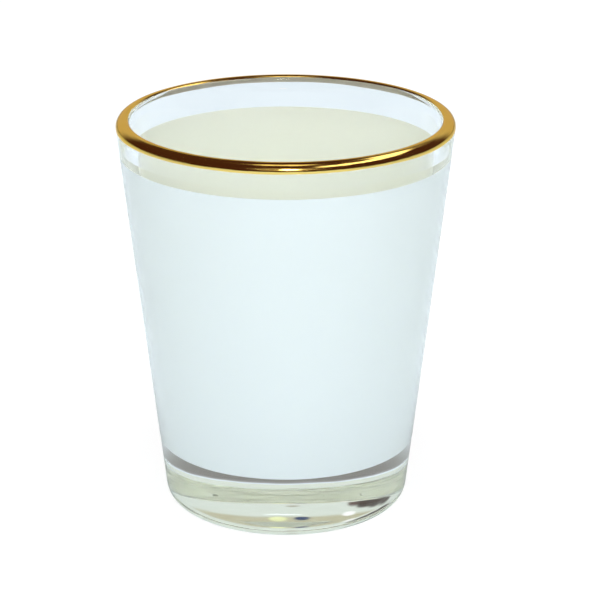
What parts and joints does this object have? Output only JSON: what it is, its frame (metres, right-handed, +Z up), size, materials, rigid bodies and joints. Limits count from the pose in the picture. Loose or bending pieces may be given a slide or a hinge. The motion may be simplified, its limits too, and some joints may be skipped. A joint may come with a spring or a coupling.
{
  "type": "shot glass",
  "caption": "Small tapered drinking glass with a heavy clear base, a white coating round its side and a gold band on its rim.",
  "frame": {"origin": "centre of the foot, on the surface the glass stands on", "axes": "+Z up along the axis of the glass; X and Y are free, because the glass is round"},
  "size_m": [0.0498, 0.0498, 0.06],
  "materials": {
    "clear_glass": "clear pressed soda-lime glass, fire polished",
    "gold_lustre": "bright fired gold, banded by hand",
    "white_gloss": "thin glossy white coating, baked on, slightly translucent"
  },
  "bodies": {
    "root": {"glass_body": "clear_glass", "gold_rim": "gold_lustre", "white_coating": "white_gloss"}
  },
  "joints": []
}
